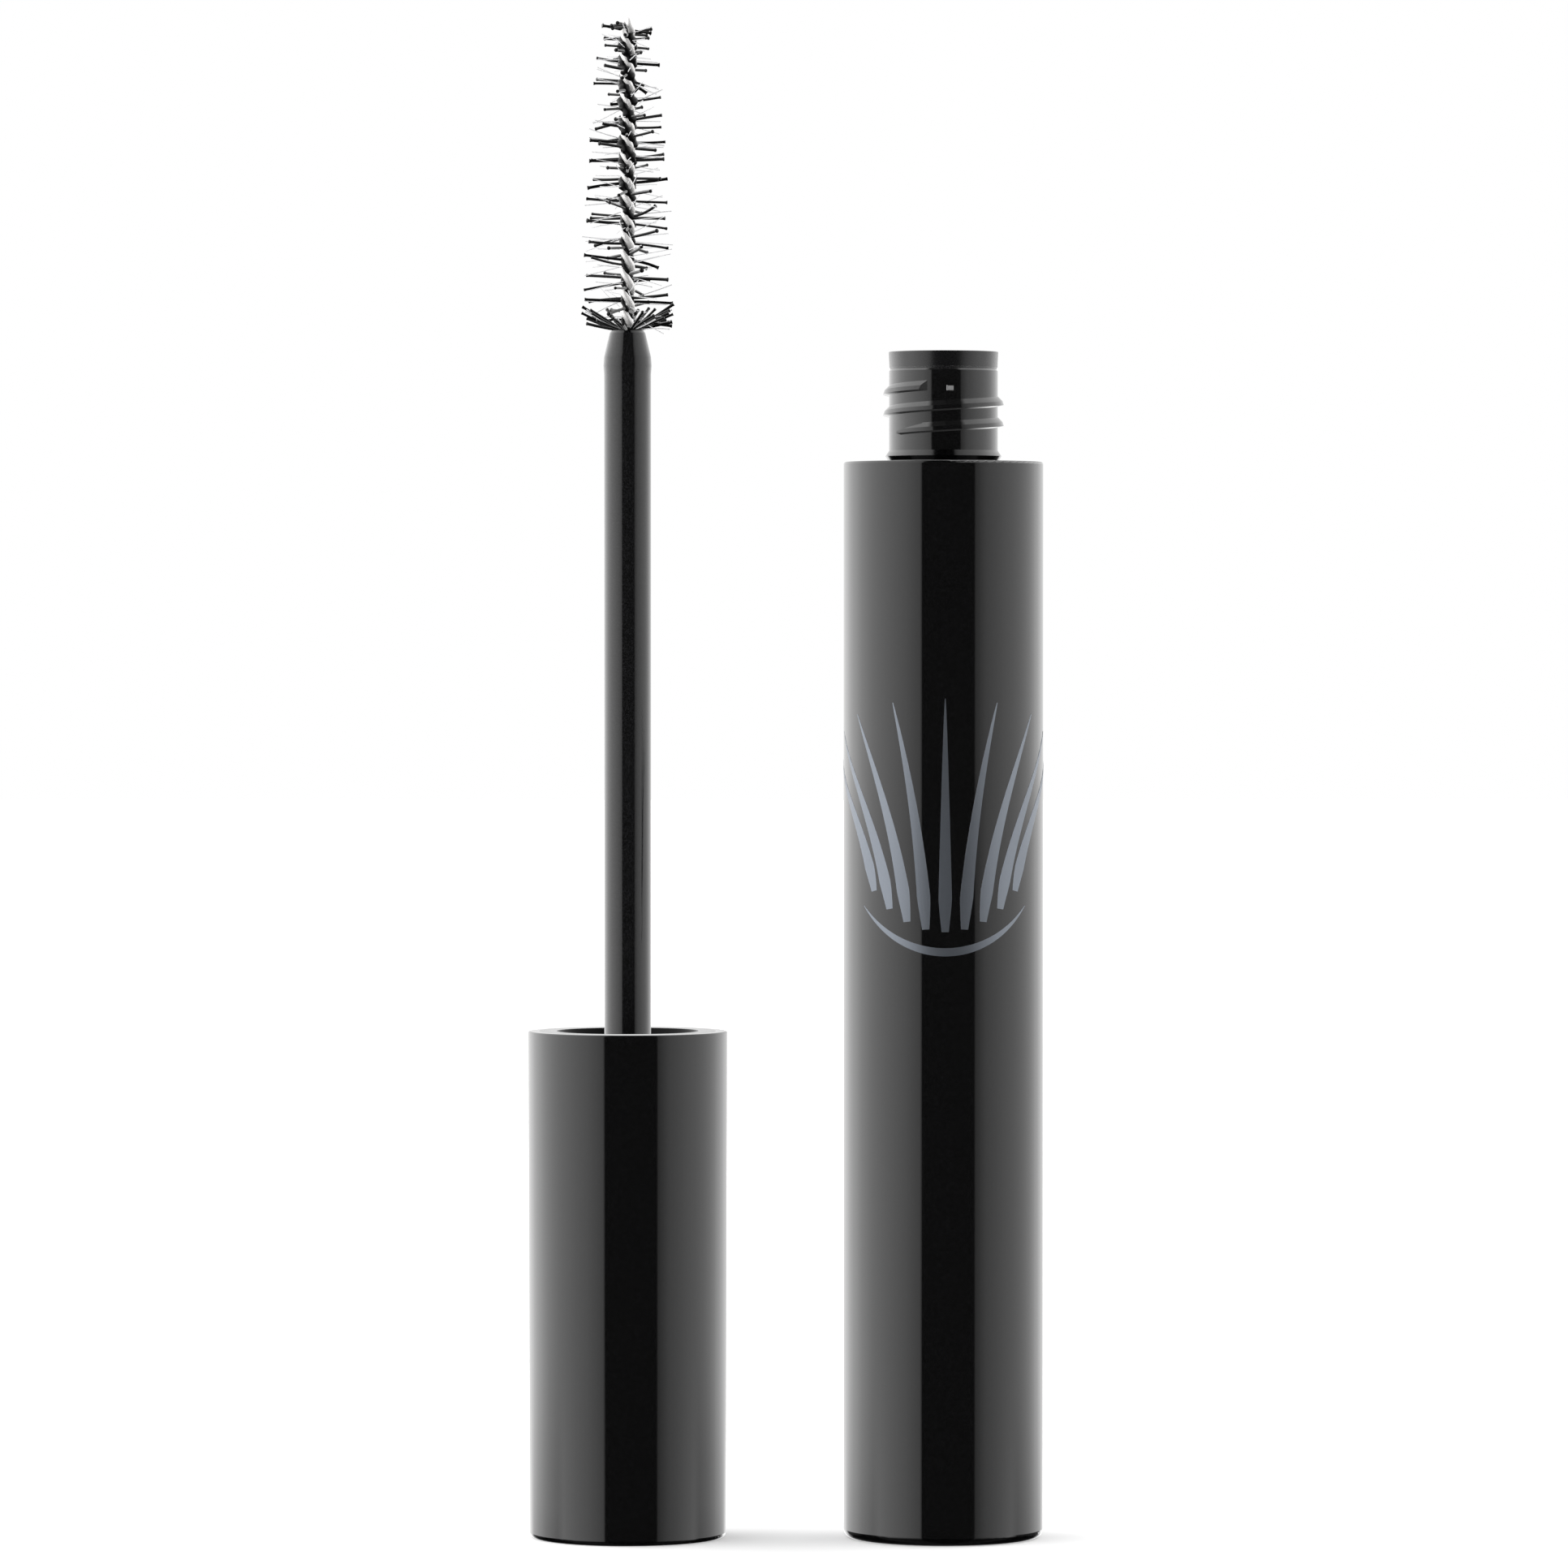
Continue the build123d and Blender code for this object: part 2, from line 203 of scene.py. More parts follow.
def studio_world():
    """A light tent that is plain white to the camera."""
    world = bpy.data.worlds.new("tent")
    world.use_nodes = True
    bpy.context.scene.world = world
    world.node_tree.nodes.clear()
    graph = Nodes(world.node_tree)
    split = graph.new("ShaderNodeSeparateXYZ")
    graph.link(graph.new("ShaderNodeTexCoord").outputs["Generated"], split.inputs[0])
    x, y, z = split.outputs
    angle = graph.math("ARCTAN2", x, graph.math("MULTIPLY", y, -1.0))
    turn = graph.rescaled(angle, -math.pi, math.pi)
    level = graph.ramp(turn, by_turn(TENT))
    low = graph.ramp(turn, by_turn(TENT_LOW))
    rise = graph.rescaled(z, -1.0, 1.0)
    around = graph.mix(graph.ramp(rise, by_rise(LOW_SHARE)), level, low)
    upwards = graph.ramp(rise, by_rise(TENT_HEIGHT))
    slope = graph.math("DIVIDE", x, graph.math("MAXIMUM", z, NEAR_ZERO))
    side = graph.ramp(graph.math("ABSOLUTE", slope), OVERHEAD_DARK)
    end = graph.ramp(graph.math("ABSOLUTE", y), OVERHEAD_END)
    overhead = graph.math("MAXIMUM", side, end)
    tent = graph.math("MULTIPLY", graph.math("MULTIPLY", around, upwards), overhead)
    light = graph.new("ShaderNodeBackground")
    light.inputs["Strength"].default_value = WORLD_PEAK
    graph.link(tent, light.inputs["Color"])
    white = graph.new("ShaderNodeBackground")
    white.inputs["Color"].default_value = (1, 1, 1, 1)
    choose = graph.new("ShaderNodeMixShader")
    graph.link(graph.new("ShaderNodeLightPath").outputs["Is Camera Ray"], choose.inputs[0])
    graph.link(light.outputs[0], choose.inputs[1])
    graph.link(white.outputs[0], choose.inputs[2])
    graph.link(choose.outputs[0], graph.new("ShaderNodeOutputWorld").inputs["Surface"])


def studio_camera():
    """The camera, a little above the middle of the tube, on the line between its halves."""
    data = bpy.data.cameras.new("camera")
    data.sensor_width = SENSOR
    data.lens = LENS
    data.clip_start = CLIP_NEAR
    data.clip_end = CLIP_FAR
    camera = bpy.data.objects.new("camera", data)
    bpy.context.scene.collection.objects.link(camera)
    aim = Vector(((BOTTLE_X + APPLICATOR_X) / 2 - AIM_LEFT, 0, AIM_Z))
    camera.location = Vector((aim.x, -CAMERA_DISTANCE, CAMERA_HEIGHT))
    camera.rotation_euler = (aim - camera.location).to_track_quat("-Z", "Y").to_euler()
    bpy.context.scene.camera = camera


def mesh_object(name, points, faces, smooth=True):
    """A new mesh object from points and faces, in the row frame."""
    mesh = bpy.data.meshes.new(name)
    mesh.from_pydata(points, [], faces)
    mesh.validate()
    if smooth:
        mesh.shade_smooth()
    else:
        mesh.shade_flat()
    piece = bpy.data.objects.new(name, mesh)
    bpy.context.scene.collection.objects.link(piece)
    return piece


def studio_floor():
    """The pale floor. The plastic doesn't mirror it, so the black panel shows to the base."""
    half = FLOOR_SIZE / 2
    corners = [(-half, -half, 0), (half, -half, 0), (half, half, 0), (-half, half, 0)]
    floor = mesh_object("studio_floor", corners, [(0, 1, 2, 3)], smooth=False)
    floor.data.materials.append(floor_paint())
    floor.visible_glossy = False


# Materials


class Paint(Nodes):
    """A Principled material, with short ways to add procedural detail in object space."""

    def __init__(self, name, color, roughness, metallic=0.0, ior=1.5):
        self.material = bpy.data.materials.new(name)
        self.material.use_nodes = True
        super().__init__(self.material.node_tree)
        self.shader = self.tree.nodes["Principled BSDF"]
        self.set("Base Color", (*color, 1))
        self.set("Roughness", roughness)
        self.set("Metallic", metallic)
        self.set("IOR", ior)
        self.material.diffuse_color = (*color, 1)
        self.place = self.new("ShaderNodeTexCoord").outputs["Object"]
        self.relief = None

    def set(self, socket, value):
        self.shader.inputs[socket].default_value = value

    def noise(self, size, detail=3.0, stretch=(1, 1, 1), roughness=0.5):
        """Noise whose features are about this size, in metres."""
        mapping = self.new("ShaderNodeMapping")
        mapping.inputs["Scale"].default_value = stretch
        self.link(self.place, mapping.inputs["Vector"])
        texture = self.new("ShaderNodeTexNoise")
        texture.inputs["Scale"].default_value = 1 / size
        texture.inputs["Detail"].default_value = detail
        texture.inputs["Roughness"].default_value = roughness
        self.link(mapping.outputs["Vector"], texture.inputs["Vector"])
        return texture.outputs["Fac"]

    def blend_color(self, mask, color_a, color_b):
        """The base colour goes from color_a to color_b as the mask goes from 0 to 1."""
        node = self.new("ShaderNodeMixRGB")
        node.inputs[1].default_value = (*color_a, 1)
        node.inputs[2].default_value = (*color_b, 1)
        self.link(mask, node.inputs[0])
        self.link(node.outputs[0], self.shader.inputs["Base Color"])

    def roughness(self, mask, low, high):
        """The roughness goes from low to high as the mask goes from 0 to 1."""
        node = self.new("ShaderNodeMapRange")
        node.inputs["To Min"].default_value = low
        node.inputs["To Max"].default_value = high
        self.link(mask, node.inputs["Value"])
        self.link(node.outputs[0], self.shader.inputs["Roughness"])

    def bump(self, source, depth):
        """Adds relief of this depth, in metres, on top of any relief that is there."""
        node = self.new("ShaderNodeBump")
        node.inputs["Strength"].default_value = 1.0
        node.inputs["Distance"].default_value = depth
        self.link(source, node.inputs["Height"])
        if self.relief is not None:
            self.link(self.relief, node.inputs["Normal"])
        self.relief = node.outputs["Normal"]
        self.link(self.relief, self.shader.inputs["Normal"])


def floor_paint():
    """Matt white, lit a little from within so that it is as pale as the background."""
    paint = Paint("studio_floor", (0.92, 0.92, 0.92), 0.8)
    paint.set("Specular IOR Level", 0.0)
    paint.set("Emission Color", (1, 1, 1, 1))
    paint.set("Emission Strength", 0.3)
    return paint.material


def gloss_plastic(name, tone, haze, peel, grain):
    """Moulded gloss black: a slow waviness, a fine grain, and hairline rubs in the gloss.

    The tone is the colour, the haze the roughness, and the peel and grain are depths of relief.
    """
    paint = Paint(name, (tone, tone, tone * 1.1), haze)
    streaks = paint.noise(0.5 * MM, 2.0, (1, 1, 0.02))
    rubs = paint.ramp(streaks, [(0.0, 0.0), (0.55, 0.0), (0.75, 1.0), (1.0, 1.0)])
    paint.roughness(rubs, haze, haze + 0.05)
    mottle = paint.noise(0.12 * MM, 3.0, roughness=0.7)
    specks = paint.ramp(mottle, [(0.0, 0.0), (0.45, 0.1), (0.75, 1.0), (1.0, 1.0)])
    paint.blend_color(specks, (tone / 2, tone / 2, tone / 2), (tone * 5, tone * 5, tone * 5.4))
    paint.bump(paint.noise(4 * MM, 1.0), peel)
    paint.bump(mottle, grain)
    return paint.material


def satin_plastic(name, color, roughness):
    """Moulded satin black with a spark-eroded grain."""
    paint = Paint(name, color, roughness)
    grain = paint.noise(0.08 * MM, 3.0)
    paint.roughness(grain, roughness - 0.08, roughness + 0.1)
    paint.bump(grain, 0.0015 * MM)
    paint.bump(paint.noise(1.5 * MM, 2.0), 0.004 * MM)
    return paint.material


def liner_plastic():
    """The cap's liner: a dull black, which is glossy only at a low angle, as on its rim."""
    paint = Paint("liner_black", (0.004, 0.004, 0.0045), 0.08)
    paint.set("Specular IOR Level", 0.08)
    grain = paint.noise(0.08 * MM, 3.0)
    paint.roughness(grain, 0.06, 0.12)
    paint.bump(grain, 0.0003 * MM)
    return paint.material


def foam():
    """Closed-cell foam: small pits and a mottled grey."""
    paint = Paint("seal_foam", (0.35, 0.35, 0.36), 0.85)
    cells = paint.new("ShaderNodeTexVoronoi")
    cells.inputs["Scale"].default_value = 1 / (0.18 * MM)
    paint.link(paint.place, cells.inputs["Vector"])
    paint.bump(cells.outputs["Distance"], 0.03 * MM)
    paint.blend_color(paint.noise(0.6 * MM), (0.3, 0.3, 0.31), (0.42, 0.42, 0.43))
    return paint.material


def drawn_steel():
    """Steel wire under a thin pale film, with the fine lines of the drawing die."""
    paint = Paint("wire_steel", (0.9, 0.89, 0.88), 0.6, metallic=0.7)
    lines = paint.noise(0.03 * MM, 3.0, (1, 1, 0.12))
    paint.roughness(lines, 0.54, 0.68)
    paint.bump(lines, 0.0012 * MM)
    paint.blend_color(paint.noise(0.5 * MM, 4.0), (0.86, 0.85, 0.84), (0.96, 0.95, 0.94))
    return paint.material


def nylon(name, dark, light, roughness, shine):
    """Extruded nylon fibre with faint draw marks. Where it is made pale grey, the colour is a
    painted highlight on black fibre.
    """
    paint = Paint(name, dark, roughness)
    paint.set("Specular IOR Level", shine)
    marks = paint.noise(0.05 * MM, 3.0)
    paint.roughness(marks, roughness - 0.06, roughness + 0.12)
    paint.blend_color(marks, dark, light)
    paint.bump(marks, 0.0012 * MM)
    return paint.material


def paste():
    """Wet mascara: a lumpy, glossy black surface."""
    paint = Paint("formula_paste", (0.004, 0.004, 0.004), 0.12)
    paint.bump(paint.noise(1.6 * MM, 4.0), 0.25 * MM)
    paint.bump(paint.noise(0.3 * MM, 3.0), 0.03 * MM)
    paint.blend_color(paint.noise(2 * MM), (0.003, 0.003, 0.003), (0.008, 0.008, 0.009))
    return paint.material


def coated_paper():
    """The sticker: white coated paper with a faint fibre mottle."""
    paint = Paint("label_paper", (0.82, 0.82, 0.8), 0.45)
    paint.blend_color(paint.noise(0.3 * MM, 5.0), (0.78, 0.78, 0.76), (0.84, 0.84, 0.82))
    paint.bump(paint.noise(0.1 * MM, 4.0), 0.004 * MM)
    return paint.material


def silver_ink():
    """Screen-printed silver: fine metal flakes in a satin binder."""
    paint = Paint("print_silver", (0.17, 0.185, 0.21), 0.42, metallic=0.8)
    flakes = paint.noise(0.04 * MM, 2.0, roughness=0.7)
    paint.roughness(flakes, 0.34, 0.5)
    paint.blend_color(flakes, (0.14, 0.155, 0.18), (0.22, 0.24, 0.27))
    paint.bump(flakes, 0.0008 * MM)
    return paint.material


def paint_cad_nodes():
    """Gives every CAD node that stays its own detailed finish."""
    shell = gloss_plastic("gloss_black", 0.0011, 0.035, 0.0016 * MM, 0.00035 * MM)
    finishes = {
        "outer_sleeve": shell,
        "cap_shell": shell,
        "inner_bottle": gloss_plastic("neck_black", 0.0015, 0.06, 0.0012 * MM, 0.0009 * MM),
        "applicator_rod": gloss_plastic("rod_black", 0.003, 0.08, 0.001 * MM, 0.0007 * MM),
        "inner_cap": liner_plastic(),
        "wiper": satin_plastic("wiper_black", (0.004, 0.004, 0.0045), 0.24),
        "cap_seal": foam(),
        "brush_wire": drawn_steel(),
        "mascara_formula": paste(),
        "base_label": coated_paper(),
    }
    for name, material in finishes.items():
        for holder in NODES[name].material_slots:
            holder.material = material
    for node in NODES.values():
        node.visible_glossy = False


# Brush

TWIST_PITCH = 3.16 * MM
CONE_LOW_Z = 104.5 * MM
CONE_SLOPE = 0.082
FIBRE_R = 0.11 * MM
FINE_R = 0.034 * MM
FAN_FINE_R = 1.4 * FINE_R
SIDES = 10
# Where along a fibre its points lie; the last three make the spread, cut end
SHARES = [0.93 * step / 7 for step in range(8)] + [0.965, 0.99, 1.0]
END_SPREAD = (0.3, 1.0, 0.8)

# How the fibres vary by chance. A pair is an even range, and a turn, slope, bend or sweep that is
# one number is a standard deviation. Reach, thickness and flare are factors.
FIBRES = 50
# The thin fibres are pale grey, a painted highlight for black fibres washed pale by the light.
FINE_FIBRES = 84
HEIGHT_JITTER = 0.4
REACH = (0.94, 1.02)
TURN = 0.05
SLOPE = 0.035
BEND = 0.035
SWEEP = 0.05
THICKNESS = (0.85, 1.15)
FLARE = (0.3, 1.2)
# Some fibres are short and curled
SHORT_CHANCE = 0.1
SHORT_REACH = (0.5, 0.8)
SHORT_BEND = 6

# The whorl that the rod's nose pushes out. Fibres that rise further start nearer the wire.
FAN_FIBRES = 30
# The whorl's thin fibres are pale grey too, the same painted highlight.
PALE_FAN_FIBRES = 14
GOLDEN_TURN = 0.618034
FAN_TURN = (-0.1, 0.1)
FAN_RISE = (0.25 * MM, 1.95 * MM)
FAN_ROOT_R = 1.15 * MM
FAN_ROOT_SLOPE = 0.32
FAN_LIFT = 0.08 * MM
FAN_REACH = (0.95, 1.02)
FAN_BEND = 0.04
FAN_SWEEP = 0.08
FAN_THICKNESS = (0.9, 1.15)
FAN_FLARE = 0.25

# Each ring of crushed roots, as its radius and its thickness
CROWN_RINGS = [(0.95 * MM, 0.15 * MM), (0.65 * MM, 0.2 * MM)]
CROWN_STEPS = 44
CROWN_LIFT = 0.1 * MM
CROWN_KNOT = 0.25
CROWN_KNOT_RATE = 2.3

# The tuft under the hairpin
TUFT_FIBRES = 11
TUFT_DEPTH = (0.6 * MM, 1.4 * MM)
TUFT_MIDDLE = 1.0 * MM
TUFT_TURN = 0.45
TUFT_REACH = (0.86, 1.0)
TUFT_SLOPE_MEAN = 0.08
TUFT_SLOPE = 0.15
TUFT_BEND = 0.04
TUFT_FLARE = (0.4, 0.9)

# The dark middles of the fibres in the wire's two grooves
ROOT_OFFSET = 0.35 * MM
ROOT_R_LOW = 0.2 * MM
ROOT_R_HIGH = 0.43 * MM
ROOT_R_END = 0.05 * MM
ROOT_ABOVE_ROD = 0.2 * MM
ROOT_BELOW_TIP = 1.3 * MM
ROOT_STEPS = 160
# Where up the brush the grooves begin to fill, and over what share of it they fill up
ROOT_FILL_FROM = 0.2
ROOT_FILL_OVER = 0.4
# Each wave of knots, as its size and its rate
ROOT_KNOTS = [(0.18, 1.9), (0.12, 0.83)]


def brush_radius(height):
    """The radius of the brush: straight for the lower third, then a cone to the tip."""
    return BRUSH_R - CONE_SLOPE * max(0, height - CONE_LOW_Z)


def gap_angle(height):
    """The heading that the gap between the wire's two strands faces at this height."""
    return math.pi / 2 - 2 * math.pi * (height - WIRE_LOW_Z) / TWIST_PITCH


def outward(heading):
    """The level direction at this heading."""
    return Vector((math.cos(heading), math.sin(heading), 0))


def on_axis(height):
    """The point of the applicator's axis at this height."""
    return Vector((APPLICATOR_X, 0, height))


def tube(points, faces, path, radii):
    """Adds a closed tube along the path to points and faces."""
    first = len(points)
    ahead = (path[1] - path[0]).normalized()
    side = ahead.orthogonal().normalized()
    for index, centre in enumerate(path):
        before = path[max(index - 1, 0)]
        beyond = path[min(index + 1, len(path) - 1)]
        ahead = (beyond - before).normalized()
        side = (side - ahead * side.dot(ahead)).normalized()
        up = ahead.cross(side)
        for step in range(SIDES):
            angle = 2 * math.pi * step / SIDES
            offset = side * math.cos(angle) + up * math.sin(angle)
            points.append(centre + offset * radii[index])
    for index in range(len(path) - 1):
        low = first + index * SIDES
        for step in range(SIDES):
            after = (step + 1) % SIDES
            faces.append((low + step, low + after, low + SIDES + after, low + SIDES + step))
    last = first + (len(path) - 1) * SIDES
    faces.append(tuple(first + step for step in reversed(range(SIDES))))
    faces.append(tuple(last + step for step in range(SIDES)))


def fibre_radii(radius, flare):
    """A fibre is even along its length and spreads where its end was cut."""
    end = [radius * (1 + flare * spread) for spread in END_SPREAD]
    return [radius] * (len(SHARES) - len(end)) + end


def arm(root, heading, reach, slope, bend, sweep):
    """The path of a fibre from its root out to its end, with a slope, a bend and a sweep."""
    out = outward(heading)
    across = Vector((-out.y, out.x, 0))
    up = Vector((0, 0, 1))
    path = []
    for share in SHARES:
        run = reach * share
        lift = slope * run + bend * run * share
        path.append(root + out * run + up * lift + across * sweep * run * share)
    return path


def brush_piece(name, points, faces, material):
    """A piece of the brush, which moves with the applicator."""
    piece = mesh_object(name, points, faces)
    piece.data.materials.append(material)
    piece.visible_glossy = False
    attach(piece, "applicator")
    return piece


def bristles(name, count, radius, flare, spread, droop, material, draw):
    """Fibres caught between the strands, one after another up the twisted wire.

    The spread turns a whole fibre out of the gap, and the droop tilts it, one end up, one down.
    """
    points, faces = [], []
    span = BRISTLE_HIGH_Z - BRISTLE_LOW_Z
    for index in range(count):
        place = index + 0.5 + draw.uniform(-HEIGHT_JITTER, HEIGHT_JITTER)
        height = BRISTLE_LOW_Z + span * place / count
        heading = gap_angle(height) + draw.gauss(0, spread)
        tilt = draw.gauss(0, droop)
        for side in (1, -1):
            reach = brush_radius(height) * draw.uniform(*REACH)
            bend = draw.gauss(0, BEND)
            if draw.random() < SHORT_CHANCE:
                reach *= draw.uniform(*SHORT_REACH)
                bend *= SHORT_BEND
            turn = draw.gauss(0, TURN) + (0 if side > 0 else math.pi)
            slope = side * tilt + draw.gauss(0, SLOPE)
            sweep = draw.gauss(0, SWEEP)
            path = arm(on_axis(height), heading + turn, reach, slope, bend, sweep)
            size = radius * draw.uniform(*THICKNESS)
            tube(points, faces, path, fibre_radii(size, flare * draw.uniform(*FLARE)))
    return brush_piece(name, points, faces, material)


def root_fan(name, count, radius, material, draw):
    """The lowest fibres, which the rod's nose pushes up and out into a whorl."""
    points, faces = [], []
    for index in range(count):
        heading = 2 * math.pi * index * GOLDEN_TURN + draw.uniform(*FAN_TURN)
        rise = draw.uniform(*FAN_RISE)
        root_r = FAN_ROOT_R - FAN_ROOT_SLOPE * rise
        root = on_axis(ROD_TIP_Z + FAN_LIFT) + outward(heading) * root_r
        reach = BRUSH_R * draw.uniform(*FAN_REACH) - root_r
        bend = draw.gauss(0, FAN_BEND)
        sweep = draw.gauss(0, FAN_SWEEP)
        path = arm(root, heading, reach, rise / reach, bend, sweep)
        size = radius * draw.uniform(*FAN_THICKNESS)
        tube(points, faces, path, fibre_radii(size, FAN_FLARE))
    brush_piece(name, points, faces, material)


def crown(material):
    """The crushed roots of the whorl, packed round the wire on top of the rod."""
    points, faces = [], []
    centre = on_axis(ROD_TIP_Z + CROWN_LIFT)
    for ring_r, ring_size in CROWN_RINGS:
        path, radii = [], []
        for step in range(CROWN_STEPS + 1):
            path.append(centre + outward(2 * math.pi * step / CROWN_STEPS) * ring_r)
            radii.append(ring_size * (1 + CROWN_KNOT * math.sin(step * CROWN_KNOT_RATE)))
        tube(points, faces, path, radii)
    brush_piece("bristle_crown", points, faces, material)


def tip_tuft(material, draw):
    """The highest fibres, which crowd together under the hairpin and splay."""
    points, faces = [], []
    for index in range(TUFT_FIBRES):
        height = WIRE_TOP_Z - draw.uniform(*TUFT_DEPTH)
        side = math.pi * (index % 2)
        heading = gap_angle(WIRE_TOP_Z - TUFT_MIDDLE) + side + draw.gauss(0, TUFT_TURN)
        reach = brush_radius(height) * draw.uniform(*TUFT_REACH)
        slope = draw.gauss(TUFT_SLOPE_MEAN, TUFT_SLOPE)
        bend = draw.gauss(0, TUFT_BEND)
        path = arm(on_axis(height), heading, reach, slope, bend, draw.gauss(0, SWEEP))
        tube(points, faces, path, fibre_radii(FIBRE_R, draw.uniform(*TUFT_FLARE)))
    brush_piece("bristle_tuft", points, faces, material)


def fibre_roots(material):
    """The middles of the fibres, packed into the two grooves of the twisted wire."""
    points, faces = [], []
    low_z = ROD_TIP_Z + ROOT_ABOVE_ROD
    high_z = WIRE_TOP_Z - ROOT_BELOW_TIP
    for side in (0, math.pi):
        path, radii = [], []
        for step in range(ROOT_STEPS + 1):
            share = step / ROOT_STEPS
            height = low_z + (high_z - low_z) * share
            path.append(on_axis(height) + outward(gap_angle(height) + side) * ROOT_OFFSET)
            fill = min(1, max(0, (share - ROOT_FILL_FROM) / ROOT_FILL_OVER))
            knots = 1
            for size, rate in ROOT_KNOTS:
                knots += size * math.sin(step * rate)
            radii.append((ROOT_R_LOW + (ROOT_R_HIGH - ROOT_R_LOW) * fill) * knots)
        radii[0] = radii[-1] = ROOT_R_END
        tube(points, faces, path, radii)
    brush_piece("bristle_roots", points, faces, material)


def make_brush():
    """The bristles in place of the CAD's straight ones."""
    draw = random.Random(SEED)
    black = nylon("nylon_black", (0.001, 0.001, 0.0011), (0.0025, 0.0025, 0.0028), 0.3, 0.2)
    # Painted highlight: these thin fibres are coloured pale grey to stand for black fibres that
    # the studio light washes pale.
    pale = nylon("nylon_painted_highlight", (0.6, 0.6, 0.61), (0.72, 0.72, 0.73), 0.3, 0.5)
    main = bristles("bristles", FIBRES, FIBRE_R, 0.55, 0.14, 0.07, black, draw)
    fine = bristles("painted_highlight_bristles", FINE_FIBRES, FINE_R, 0.1, 0.5, 0.2, pale, draw)
    root_fan("bristle_fan", FAN_FIBRES, FIBRE_R, black, draw)
    root_fan("painted_highlight_fan", PALE_FAN_FIBRES, FAN_FINE_R, pale, draw)
    crown(black)
    tip_tuft(black, draw)
    fibre_roots(black)
    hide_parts(*FIBRE_ROWS)
    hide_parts("fine_bristles")


# The bottle's neck

PIP_ANGLE = math.radians(-84)
PIP_Z = 92.02 * MM
PIP_FACE_R = 4.665 * MM
MARK_WIDTH = 0.46 * MM
MARK_HEIGHT = 0.32 * MM
MARK_SINK = 0.01 * MM
MARK_LIFT = 0.006 * MM


def stop_mark():
    """A lighter grey, matt patch on the face of the stop pip."""
    out = outward(PIP_ANGLE)
    across = Vector((-out.y, out.x, 0))
    points = []
    for proud in (-MARK_SINK, MARK_LIFT):
        for wide, high in ((-1, -1), (1, -1), (1, 1), (-1, 1)):
            corner = out * (PIP_FACE_R + proud) + across * wide * MARK_WIDTH / 2
            points.append(corner + Vector((BOTTLE_X, 0, PIP_Z + high * MARK_HEIGHT / 2)))
    faces = [(3, 2, 1, 0), (4, 5, 6, 7)]
    faces += [(a, (a + 1) % 4, (a + 1) % 4 + 4, a + 4) for a in range(4)]
    piece = mesh_object("stop_mark", points, faces, smooth=False)
    # A grey patch, lighter than the black plastic round it.
    piece.data.materials.append(satin_plastic("grey_pip_patch", (0.2, 0.2, 0.2), 0.5))
    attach(piece, "bottle")


# Printed motif: a fan of lash strokes over a lid line, with no letters in it

PRINT_LIFT = 0.012 * MM
PRINT_SINK = 0.004 * MM
PRINT_STEPS = 28
PRINT_STEPS_ACROSS = 4

# The lashes stand side by side on a dipped curve, the middle one longest, the outer ones leaning
LASHES = 9
LID_Z = 52 * MM
LASH_ROOT_X = 6.2 * MM
LASH_ROOT_DIP = 3.2 * MM
LASH_LENGTH = 13.5 * MM
LASH_EXTRA = 5.0 * MM
LASH_LEAN = 0.62
LASH_LEAN_AT_ROOT = 0.35
LASH_TIP_WIDTH = 0.06 * MM
LASH_WIDTH = 1.15 * MM
LASH_TAPER = 0.8
LASH_FOOT = 0.45
LASH_FOOT_RATE = 4

# The curve under the lashes, from its end to the front, and how far it lies below and dips
LID_X = 7.4 * MM
LID_BELOW = 1.2 * MM
LID_DIP = 3.6 * MM
LID_END_WIDTH = 0.05 * MM
LID_WIDTH = 0.6 * MM


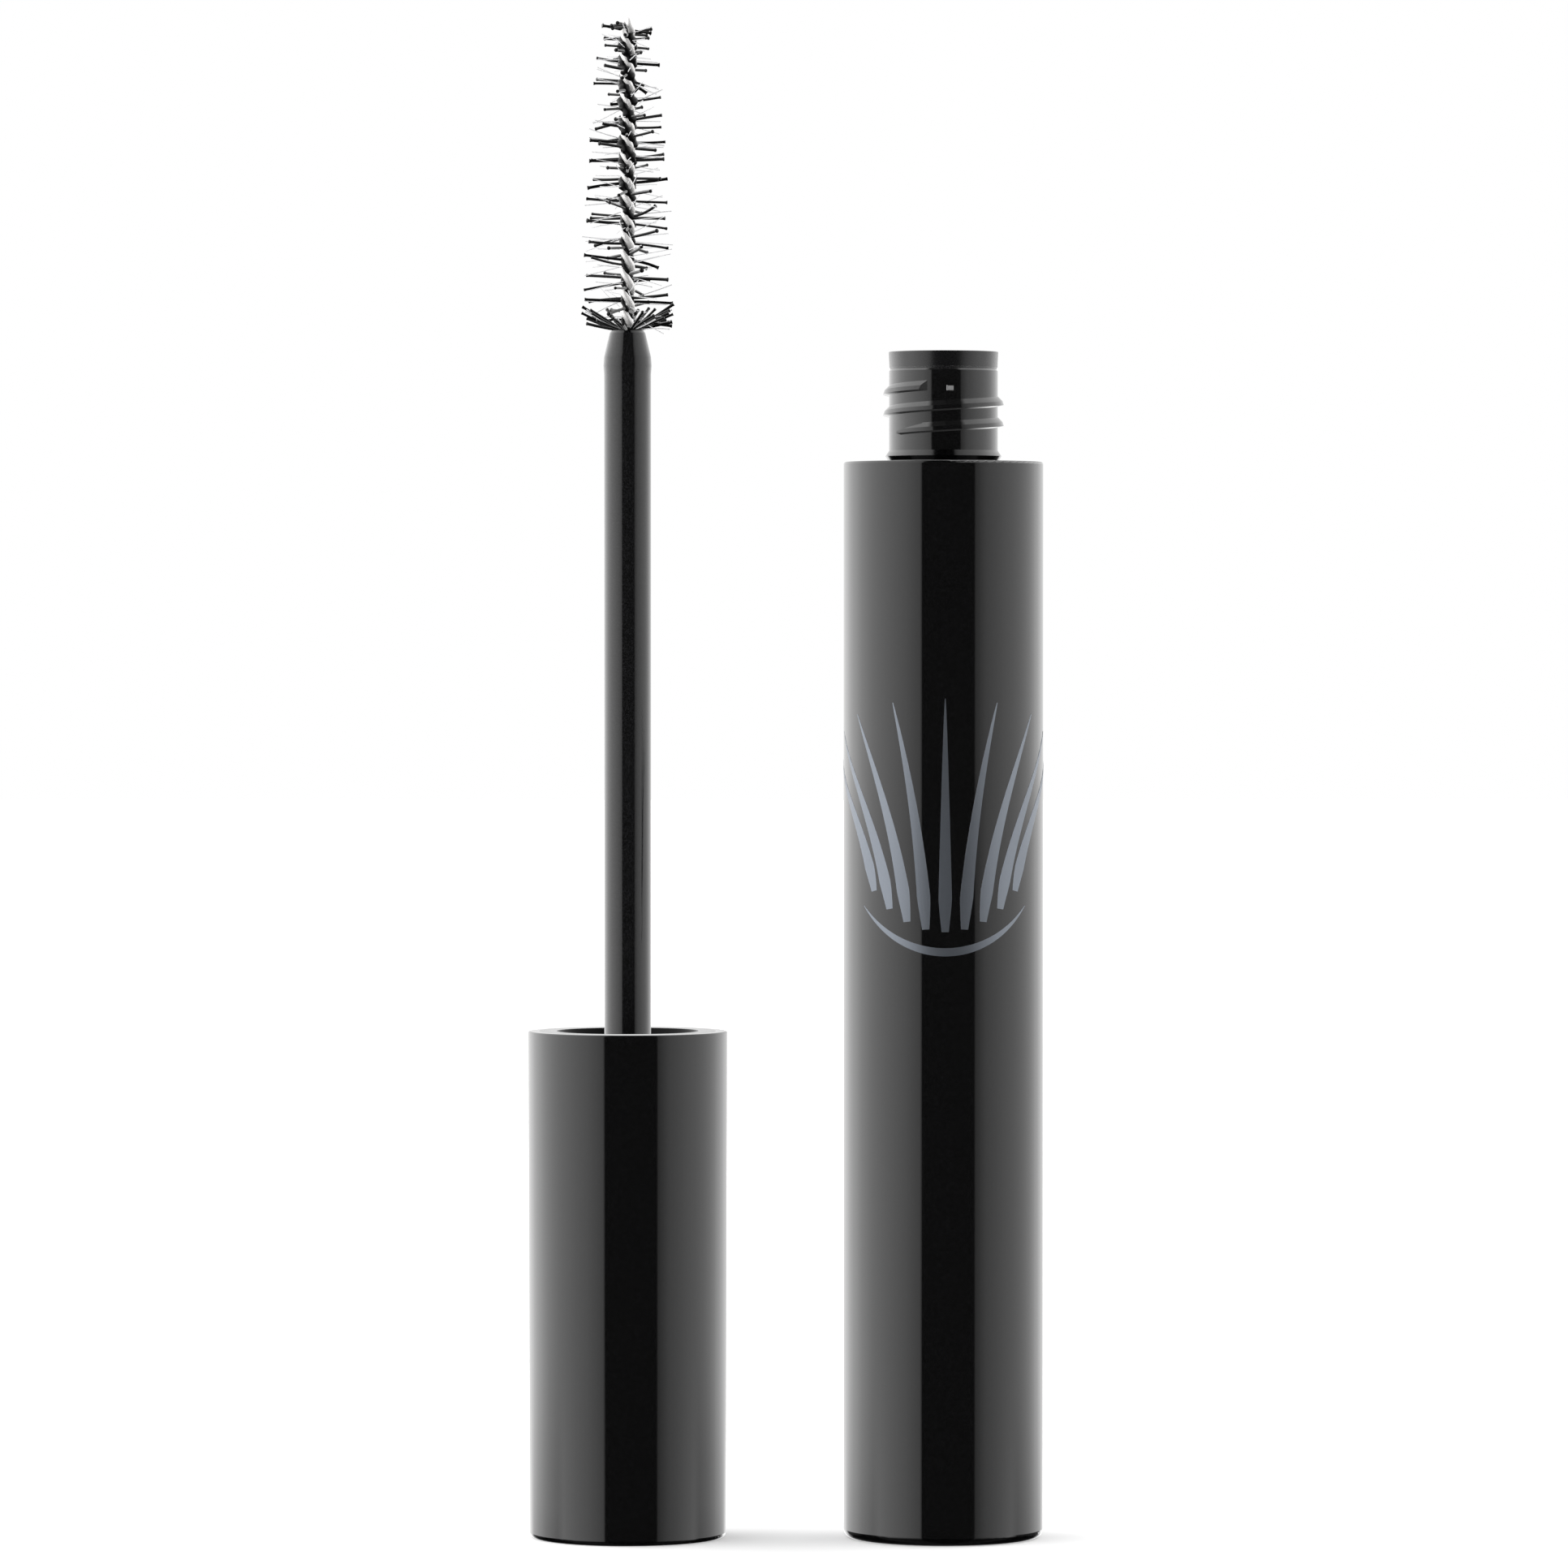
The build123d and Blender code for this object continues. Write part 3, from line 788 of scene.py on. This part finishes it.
def printed_strip(points, faces, line, widths):
    """Adds a thin closed strip along a line of (distance round the sleeve, height)."""
    first = len(points)
    for radius in (SLEEVE_R + PRINT_LIFT, SLEEVE_R - PRINT_SINK):
        for index, (distance, height) in enumerate(line):
            before = line[max(index - 1, 0)]
            beyond = line[min(index + 1, len(line) - 1)]
            run = Vector((beyond[0] - before[0], beyond[1] - before[1])).normalized()
            for step in range(PRINT_STEPS_ACROSS + 1):
                offset = (step / PRINT_STEPS_ACROSS - 0.5) * widths[index]
                angle = (distance - run.y * offset) / SLEEVE_R
                z = height + run.x * offset
                x = BOTTLE_X + radius * math.sin(angle)
                points.append(Vector((x, -radius * math.cos(angle), z)))
    rows = len(line)
    stride = PRINT_STEPS_ACROSS + 1
    under = first + rows * stride
    for row in range(rows - 1):
        for step in range(PRINT_STEPS_ACROSS):
            a = row * stride + step
            quad = (a, a + stride, a + stride + 1, a + 1)
            faces.append(tuple(first + v for v in reversed(quad)))
            faces.append(tuple(under + v for v in quad))
    edge = [row * stride for row in range(rows)]
    edge += [(rows - 1) * stride + step for step in range(1, stride)]
    edge += [row * stride + PRINT_STEPS_ACROSS for row in reversed(range(rows - 1))]
    edge += list(reversed(range(1, PRINT_STEPS_ACROSS)))
    for here, there in zip(edge, edge[1:] + edge[:1]):
        faces.append((first + here, first + there, under + there, under + here))


def lash(share):
    """One lash's line and widths. The share is its place, from -1 at the left to 1."""
    middle_share = 1 - share * share
    root_x = share * LASH_ROOT_X
    root_z = LID_Z - middle_share * LASH_ROOT_DIP
    length = LASH_LENGTH + LASH_EXTRA * middle_share
    line, widths = [], []
    for step in range(PRINT_STEPS + 1):
        t = step / PRINT_STEPS
        lean = share * LASH_LEAN * (LASH_LEAN_AT_ROOT + (1 - LASH_LEAN_AT_ROOT) * t)
        line.append((root_x + length * t * math.sin(lean), root_z + length * t * math.cos(lean)))
        foot = min(1, LASH_FOOT + LASH_FOOT_RATE * t)
        widths.append(LASH_TIP_WIDTH + LASH_WIDTH * (1 - t) ** LASH_TAPER * foot)
    return line, widths


def lid_line():
    """The line and widths of the curve under the lashes."""
    line, widths = [], []
    for step in range(2 * PRINT_STEPS + 1):
        share = step / PRINT_STEPS - 1
        middle_share = 1 - share * share
        line.append((share * LID_X, LID_Z - LID_BELOW - middle_share * LID_DIP))
        widths.append(LID_END_WIDTH + LID_WIDTH * middle_share)
    return line, widths


def print_motif():
    """The silver print on the front of the sleeve."""
    points, faces = [], []
    for index in range(LASHES):
        printed_strip(points, faces, *lash(index / (LASHES - 1) * 2 - 1))
    printed_strip(points, faces, *lid_line())
    piece = mesh_object("front_print", points, faces, smooth=False)
    piece.data.materials.append(silver_ink())
    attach(piece, "bottle")


studio_world()
studio_camera()
studio_floor()
paint_cad_nodes()
make_brush()
stop_mark()
print_motif()
bpy.context.scene.view_settings.view_transform = "Standard"
